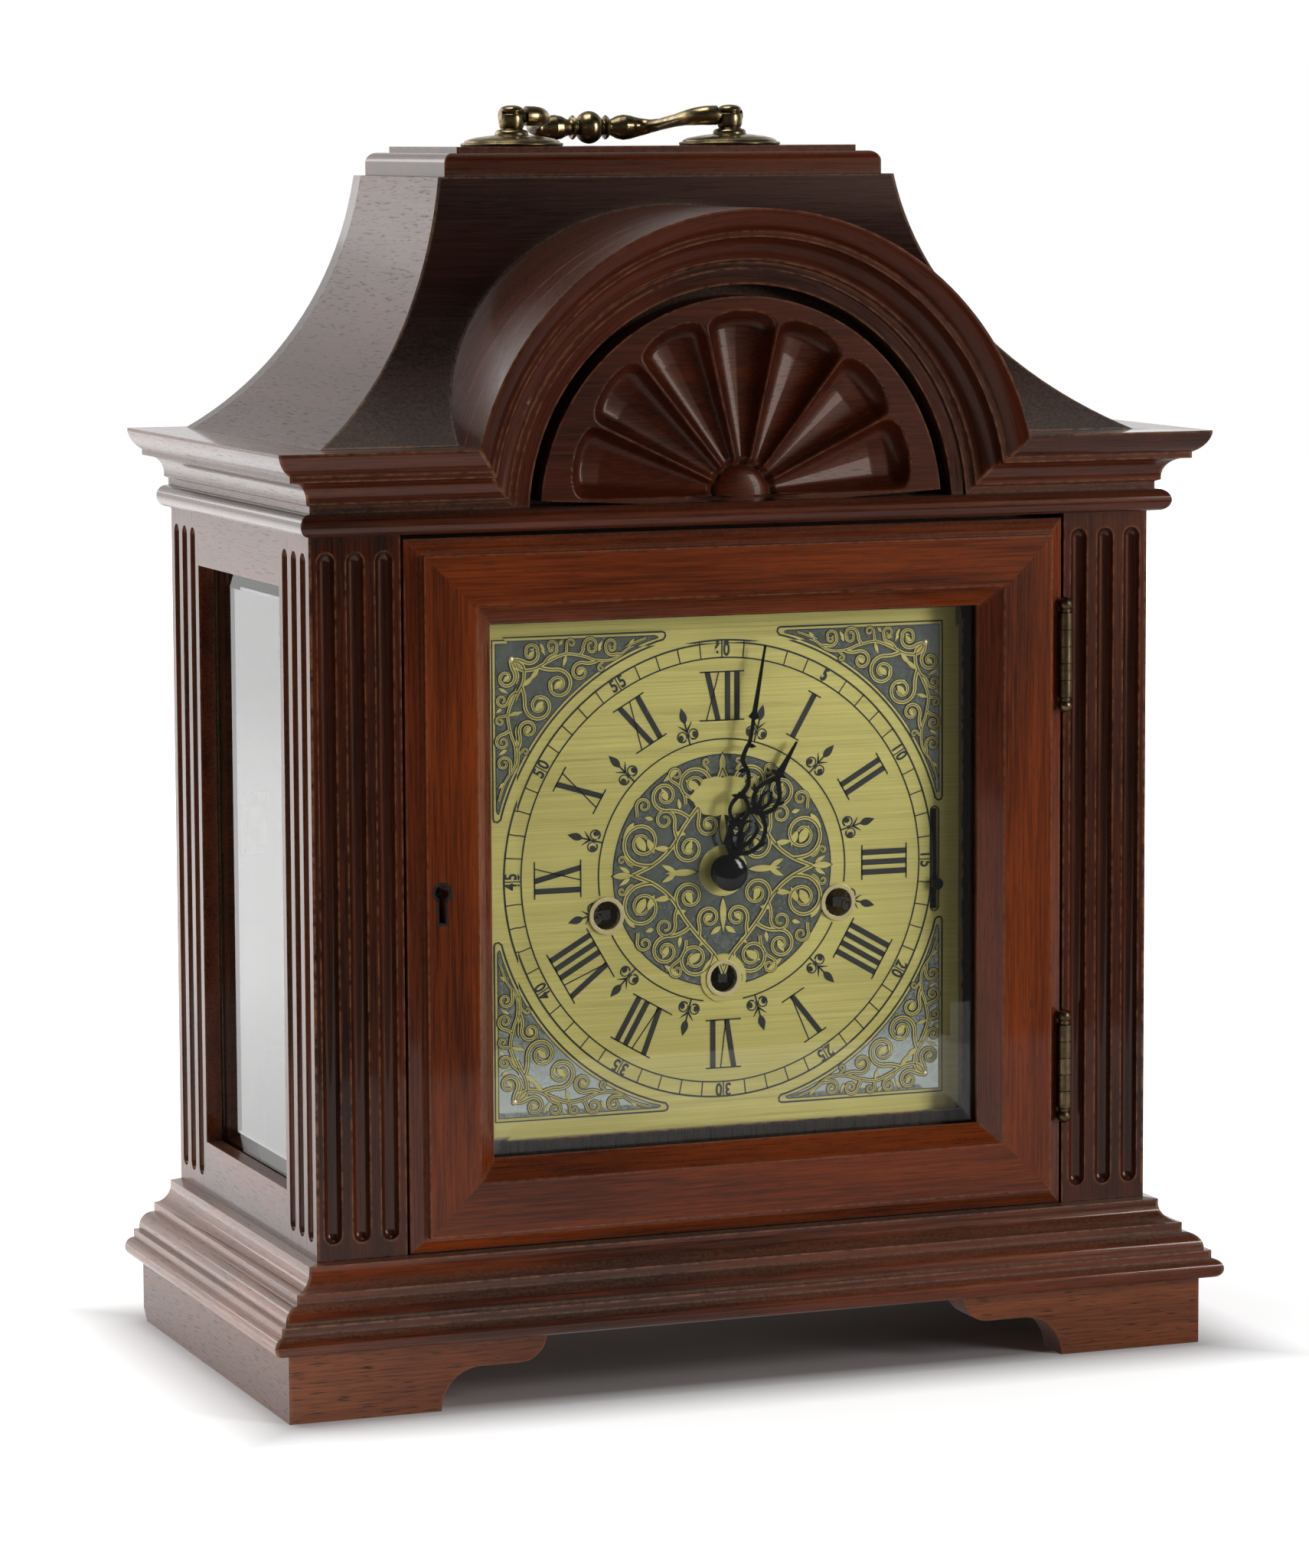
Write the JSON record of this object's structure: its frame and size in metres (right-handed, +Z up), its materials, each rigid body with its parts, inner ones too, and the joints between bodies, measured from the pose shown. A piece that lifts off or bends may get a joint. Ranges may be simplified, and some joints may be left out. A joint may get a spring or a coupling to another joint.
{
  "type": "bracket clock",
  "caption": "Wooden bracket clock with an arched hood, hinged glazed door, folding brass handle, turning hands, winding arbors and a swinging pendulum.",
  "frame": {"origin": "centre of the outer box, on the surface that the clock stands on", "axes": "+Z up, the dial faces -Y, +X to the right of someone facing the dial"},
  "size_m": [0.3318, 0.182, 0.4144],
  "materials": {
    "mahogany_case": "satin lacquered",
    "mahogany_moulding": "satin lacquered",
    "mahogany_plinth": "satin lacquered",
    "mahogany_door": "satin lacquered",
    "mahogany_hood": "satin lacquered",
    "mahogany_carved": "satin lacquered",
    "plain_wood": "plain",
    "clear_glass": "polished",
    "antique_brass": "aged",
    "hinge_bronze": "darkened",
    "lock_brass": "satin",
    "dial_brass": "brushed",
    "movement_brass": "satin",
    "steel": "satin",
    "black_steel": "gloss",
    "chime_iron": "painted"
  },
  "bodies": {
    "case": {"arch_block": "mahogany_hood", "arch_moulding": "mahogany_moulding", "back_plate": "movement_brass", "base_board": "plain_wood", "base_moulding_front": "mahogany_moulding", "base_moulding_left": "mahogany_moulding", "base_moulding_right": "mahogany_moulding", "bell_back": "mahogany_hood", "bell_front": "mahogany_hood", "bell_left": "mahogany_hood", "bell_right": "mahogany_hood", "bracket_left": "mahogany_plinth", "bracket_right": "mahogany_plinth", "case_hinge_leaves": "hinge_bronze", "chime_rods": "chime_iron", "cornice_front_left": "mahogany_moulding", "cornice_front_right": "mahogany_moulding", "cornice_left": "mahogany_moulding", "cornice_right": "mahogany_moulding", "dial_plate": "dial_brass", "front_frame": "mahogany_case", "front_plate": "movement_brass", "handle_mounts": "antique_brass", "hood_fascia": "mahogany_hood", "plinth_left": "mahogany_plinth", "plinth_right": "mahogany_plinth", "seat_board": "plain_wood", "side_glass_left": "clear_glass", "side_glass_right": "clear_glass", "side_left": "mahogany_case", "side_right": "mahogany_case", "strike_and_chime_barrels": "movement_brass", "top_board": "mahogany_moulding", "top_plate": "mahogany_hood", "tympanum": "mahogany_carved", "winding_collets": "dial_brass"},
    "front_door": {"door_frame": "mahogany_door", "door_glass": "clear_glass", "door_lock": "lock_brass", "door_hinge_leaves": "hinge_bronze"},
    "lock_bolt": {"lock_bolt": "steel"},
    "back_door": {"back_door": "plain_wood"},
    "back_door_catch": {"back_door_catch": "lock_brass"},
    "bail": {"handle_bail": "antique_brass"},
    "centre_arbor": {"centre_arbor": "movement_brass", "minute_hand": "black_steel", "hand_nut": "black_steel"},
    "hour_wheel": {"hour_wheel": "movement_brass", "hour_hand": "black_steel"},
    "minute_wheel": {"minute_wheel": "movement_brass"},
    "third_wheel": {"third_wheel": "movement_brass"},
    "escape_wheel": {"escape_wheel": "movement_brass"},
    "going_barrel": {"going_barrel": "movement_brass"},
    "winding_arbor_going": {"winding_arbor_going": "steel"},
    "winding_arbor_strike": {"winding_arbor_strike": "steel"},
    "winding_arbor_chime": {"winding_arbor_chime": "steel"},
    "chime_lever": {"chime_lever": "steel"},
    "pendulum": {"pendulum": "movement_brass"},
    "anchor": {"anchor": "steel"},
    "hammers": {"hammers": "steel"}
  },
  "joints": [
    {"name": "front_door_hinge", "type": "hinge", "parent": "case", "child": "front_door", "pos_m": [0.1147, -0.07345, 0.1623], "axis": [0, 0, 1], "range_deg": [0, 110]},
    {"name": "lock_bolt_slide", "type": "slide", "parent": "front_door", "child": "lock_bolt", "axis": [-1, 0, 0], "range_m": [0, 0.004]},
    {"name": "back_door_hinge", "type": "hinge", "parent": "case", "child": "back_door", "pos_m": [0.13315, 0.08785, 0.1623], "axis": [0, 0, -1], "range_deg": [0, 110]},
    {"name": "back_door_catch_turn", "type": "hinge", "parent": "back_door", "child": "back_door_catch", "pos_m": [-0.1178, 0.08505, 0.1648], "axis": [0, -1, 0], "range_deg": [0, 90]},
    {"name": "handle_bail_hinge", "type": "hinge", "parent": "case", "child": "bail", "pos_m": [0, 0.0358, 0.4107], "axis": [1, 0, 0], "range_deg": [0, 190]},
    {"name": "minute_hand_turn", "type": "hinge", "parent": "case", "child": "centre_arbor", "pos_m": [0, -0.05365, 0.1648], "axis": [0, 1, 0], "continuous": true},
    {"name": "hour_hand_turn", "type": "hinge", "parent": "case", "child": "hour_wheel", "pos_m": [0, -0.05365, 0.1648], "axis": [0, 1, 0], "continuous": true},
    {"name": "minute_wheel_turn", "type": "hinge", "parent": "case", "child": "minute_wheel", "pos_m": [-0.01018, -0.04065, 0.17498], "axis": [0, 1, 0], "continuous": true},
    {"name": "third_wheel_turn", "type": "hinge", "parent": "case", "child": "third_wheel", "pos_m": [0.01242, -0.03815, 0.17783], "axis": [0, 1, 0], "continuous": true},
    {"name": "escape_wheel_turn", "type": "hinge", "parent": "case", "child": "escape_wheel", "pos_m": [0, -0.03815, 0.18944], "axis": [0, 1, 0], "continuous": true},
    {"name": "going_barrel_turn", "type": "hinge", "parent": "case", "child": "going_barrel", "pos_m": [0, -0.03815, 0.1292], "axis": [0, 1, 0], "continuous": true},
    {"name": "winding_going", "type": "hinge", "parent": "case", "child": "winding_arbor_going", "pos_m": [0, -0.04065, 0.1292], "axis": [0, 1, 0], "range_deg": [0, 2520]},
    {"name": "winding_strike", "type": "hinge", "parent": "case", "child": "winding_arbor_strike", "pos_m": [-0.0408, -0.04065, 0.15215], "axis": [0, 1, 0], "range_deg": [0, 2520]},
    {"name": "winding_chime", "type": "hinge", "parent": "case", "child": "winding_arbor_chime", "pos_m": [0.0408, -0.04065, 0.15215], "axis": [0, 1, 0], "range_deg": [0, 2520]},
    {"name": "chime_lever_slide", "type": "slide", "parent": "case", "child": "chime_lever", "axis": [0, 0, 1], "range_m": [-0.007, 0.0234]},
    {"name": "pendulum_swing", "type": "hinge", "parent": "case", "child": "pendulum", "pos_m": [0, 0.02235, 0.20494], "axis": [0, 1, 0], "range_deg": [-3, 3]},
    {"name": "anchor_rock", "type": "hinge", "parent": "case", "child": "anchor", "pos_m": [0, -0.03815, 0.20494], "axis": [0, 1, 0], "range_deg": [-3, 3]},
    {"name": "chime_hammers_lift", "type": "hinge", "parent": "case", "child": "hammers", "pos_m": [0, 0.02985, 0.1023], "axis": [1, 0, 0], "range_deg": [0, 20]}
  ],
  "couplings": [
    {"joint": "hour_hand_turn", "follows": "minute_hand_turn", "ratio": 0.083333},
    {"joint": "minute_wheel_turn", "follows": "minute_hand_turn", "ratio": -0.33333},
    {"joint": "third_wheel_turn", "follows": "minute_hand_turn", "ratio": -8},
    {"joint": "escape_wheel_turn", "follows": "minute_hand_turn", "ratio": 60},
    {"joint": "going_barrel_turn", "follows": "minute_hand_turn", "ratio": -0.12821},
    {"joint": "anchor_rock", "follows": "pendulum_swing", "ratio": 1}
  ]
}
